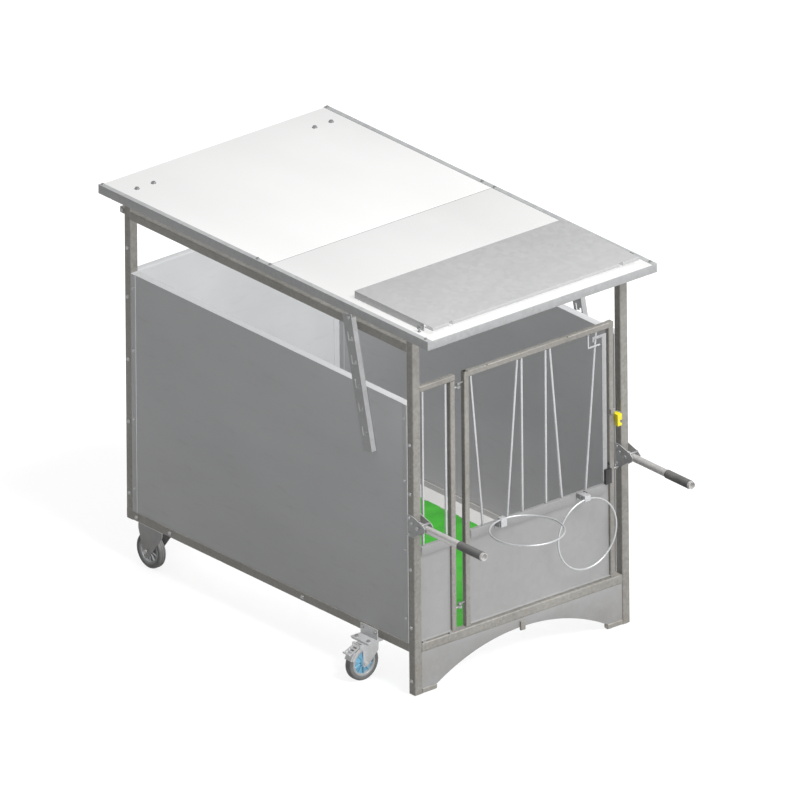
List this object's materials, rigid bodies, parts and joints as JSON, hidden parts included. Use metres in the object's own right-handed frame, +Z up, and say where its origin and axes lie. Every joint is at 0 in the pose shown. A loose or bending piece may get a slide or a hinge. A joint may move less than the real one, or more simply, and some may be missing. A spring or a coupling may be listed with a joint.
{
  "type": "mobile calf pen",
  "caption": "Wheeled single-calf box with insulated walls, a hinged roof with sliding visor, slatted floor, barred gate with bucket rings and fold-down handles.",
  "frame": {"origin": "on the floor under the centre of the bounding box", "axes": "+X to the right seen from the gate end, +Y from the gate end to the rear wall, +Z up"},
  "size_m": [1.4066, 2.398, 1.69],
  "materials": {
    "frame_steel": "galvanised square tube, warm grey",
    "gate_steel": "galvanised square tube, warm grey",
    "galvanised_rod": "galvanised round rod",
    "galvanised_sheet": "galvanised folded sheet",
    "wall_board": "smooth white-grey insulated board",
    "roof_board": "smooth white insulated panel",
    "visor_sheet": "galvanised sheet",
    "floor_plastic": "green slatted plastic",
    "strip_sheet": "light folded profile",
    "plate_sheet": "plain grey sheet",
    "fasteners": "zinc plated",
    "catch_yellow": "yellow moulded plastic",
    "buffer_red": "red plug",
    "black_plastic": "black moulded plastic",
    "grip_rubber": "ribbed dark grip",
    "handle_steel": "galvanised round tube",
    "castor_steel": "zinc plated pressed steel",
    "wheel_rubber": "grey rubber tyre on a moulded hub"
  },
  "bodies": {
    "frame": {"front_posts": "frame_steel", "rear_posts": "frame_steel", "side_top_rails": "frame_steel", "side_bottom_rails": "frame_steel", "bottom_rail_front": "frame_steel", "bottom_rail_rear": "frame_steel", "front_apron": "plate_sheet", "apron_feet": "frame_steel", "side_wall_left": "wall_board", "side_wall_right": "wall_board", "rear_wall": "wall_board", "wall_edge_profiles": "galvanised_sheet", "floor_side_profiles": "strip_sheet", "floor_panels": "floor_plastic", "fixed_panel_frame": "gate_steel", "fixed_panel_bars": "galvanised_rod", "fixed_panel_mid_rail": "galvanised_sheet", "fixed_panel_plate": "plate_sheet", "gate_hinge_eyes": "fasteners", "gate_catch_base": "fasteners", "handle_brackets": "galvanised_sheet", "rear_wheel_brackets": "castor_steel", "castor_brackets": "castor_steel", "frame_pins": "fasteners", "frame_bolts": "fasteners", "rear_buffers": "buffer_red"},
    "roof": {"roof_panel_front": "roof_board", "roof_panel_rear": "roof_board", "roof_side_channels": "galvanised_sheet", "roof_front_fascia": "galvanised_sheet", "roof_hinge_straps": "galvanised_sheet", "roof_bolts": "fasteners", "visor_thumb_screws": "fasteners"},
    "visor": {"visor_sheet": "visor_sheet"},
    "stay_left": {"roof_stay_left": "galvanised_sheet"},
    "stay_right": {"roof_stay_right": "galvanised_sheet"},
    "gate": {"gate_frame": "gate_steel", "gate_bars": "galvanised_rod", "gate_mid_rail": "galvanised_sheet", "gate_plate": "plate_sheet", "gate_hinge_pins": "fasteners", "bucket_ring_hangers": "fasteners", "latch_housing": "black_plastic"},
    "latch_slider": {"latch_bar": "galvanised_sheet"},
    "latch_pin": {"latch_bolt": "fasteners"},
    "ring_left": {"bucket_ring_left": "galvanised_rod"},
    "ring_right": {"bucket_ring_right": "galvanised_rod"},
    "catch": {"gate_catch_hook": "catch_yellow"},
    "handle_left": {"handle_left": "handle_steel", "handle_grip_left": "grip_rubber"},
    "handle_right": {"handle_right": "handle_steel", "handle_grip_right": "grip_rubber"},
    "rear_wheel_left": {"rear_wheel_left": "wheel_rubber"},
    "rear_wheel_right": {"rear_wheel_right": "wheel_rubber"},
    "castor_fork_left": {"castor_fork_left": "castor_steel"},
    "castor_fork_right": {"castor_fork_right": "castor_steel"},
    "castor_wheel_left": {"castor_wheel_left": "wheel_rubber"},
    "castor_wheel_right": {"castor_wheel_right": "wheel_rubber"},
    "brake_pedal_left": {"brake_pedal_left": "castor_steel"},
    "brake_pedal_right": {"brake_pedal_right": "castor_steel"}
  },
  "joints": [
    {"name": "roof_hinge", "type": "hinge", "parent": "frame", "child": "roof", "pos_m": [0, 1.093, 1.567], "axis": [-1, 0, 0], "range_deg": [0, 18]},
    {"name": "visor_slide", "type": "slide", "parent": "roof", "child": "visor", "axis": [0, -1, 0], "range_m": [0, 0.38]},
    {"name": "stay_left_swing", "type": "hinge", "parent": "roof", "child": "stay_left", "pos_m": [-0.597, -0.394, 1.591], "axis": [1, 0, 0], "range_deg": [0, 20.5]},
    {"name": "stay_right_swing", "type": "hinge", "parent": "roof", "child": "stay_right", "pos_m": [0.583, -0.394, 1.591], "axis": [1, 0, 0], "range_deg": [0, 20.5]},
    {"name": "gate_hinge", "type": "hinge", "parent": "frame", "child": "gate", "pos_m": [-0.322, -0.7545, 0.826], "axis": [0, 0, 1], "range_deg": [-90, 0]},
    {"name": "latch_bar_slide", "type": "slide", "parent": "gate", "child": "latch_slider", "axis": [0, 0, -1], "range_m": [0, 0.012]},
    {"name": "latch_bolt_slide", "type": "slide", "parent": "gate", "child": "latch_pin", "axis": [-1, 0, 0], "range_m": [0, 0.012]},
    {"name": "ring_left_fold", "type": "hinge", "parent": "gate", "child": "ring_left", "pos_m": [-0.125, -0.792, 0.66], "axis": [1, 0, 0], "range_deg": [0, 90]},
    {"name": "ring_right_fold", "type": "hinge", "parent": "gate", "child": "ring_right", "pos_m": [0.311, -0.792, 0.66], "axis": [1, 0, 0], "range_deg": [-90, 0]},
    {"name": "catch_pivot", "type": "hinge", "parent": "frame", "child": "catch", "pos_m": [0.52, -0.761, 0.951], "axis": [-1, 0, 0], "range_deg": [0, 30]},
    {"name": "handle_left_fold", "type": "hinge", "parent": "frame", "child": "handle_left", "pos_m": [-0.555, -0.797, 0.77], "axis": [1, 0, 0], "range_deg": [0, 90]},
    {"name": "handle_right_fold", "type": "hinge", "parent": "frame", "child": "handle_right", "pos_m": [0.555, -0.797, 0.77], "axis": [1, 0, 0], "range_deg": [0, 90]},
    {"name": "rear_wheel_left_spin", "type": "hinge", "parent": "frame", "child": "rear_wheel_left", "pos_m": [-0.546, 0.958, 0.078], "axis": [1, 0, 0], "continuous": true},
    {"name": "rear_wheel_right_spin", "type": "hinge", "parent": "frame", "child": "rear_wheel_right", "pos_m": [0.546, 0.958, 0.078], "axis": [1, 0, 0], "continuous": true},
    {"name": "castor_left_swivel", "type": "hinge", "parent": "frame", "child": "castor_fork_left", "pos_m": [-0.588, -0.479, 0.158], "axis": [0, 0, 1], "continuous": true},
    {"name": "castor_wheel_left_spin", "type": "hinge", "parent": "castor_fork_left", "child": "castor_wheel_left", "pos_m": [-0.618, -0.479, 0.078], "axis": [0, 1, 0], "continuous": true},
    {"name": "brake_pedal_left_tilt", "type": "hinge", "parent": "castor_fork_left", "child": "brake_pedal_left", "pos_m": [-0.64, -0.479, 0.16], "axis": [0, 1, 0], "range_deg": [-2, 8]},
    {"name": "castor_right_swivel", "type": "hinge", "parent": "frame", "child": "castor_fork_right", "pos_m": [0.588, -0.479, 0.158], "axis": [0, 0, 1], "continuous": true},
    {"name": "castor_wheel_right_spin", "type": "hinge", "parent": "castor_fork_right", "child": "castor_wheel_right", "pos_m": [0.618, -0.479, 0.078], "axis": [0, 1, 0], "continuous": true},
    {"name": "brake_pedal_right_tilt", "type": "hinge", "parent": "castor_fork_right", "child": "brake_pedal_right", "pos_m": [0.64, -0.479, 0.16], "axis": [0, -1, 0], "range_deg": [-2, 8]}
  ],
  "couplings": [
    {"joint": "stay_left_swing", "follows": "roof_hinge", "ratio": 1.1383},
    {"joint": "stay_right_swing", "follows": "roof_hinge", "ratio": 1.1383},
    {"joint": "latch_bolt_slide", "follows": "latch_bar_slide", "ratio": 1}
  ]
}
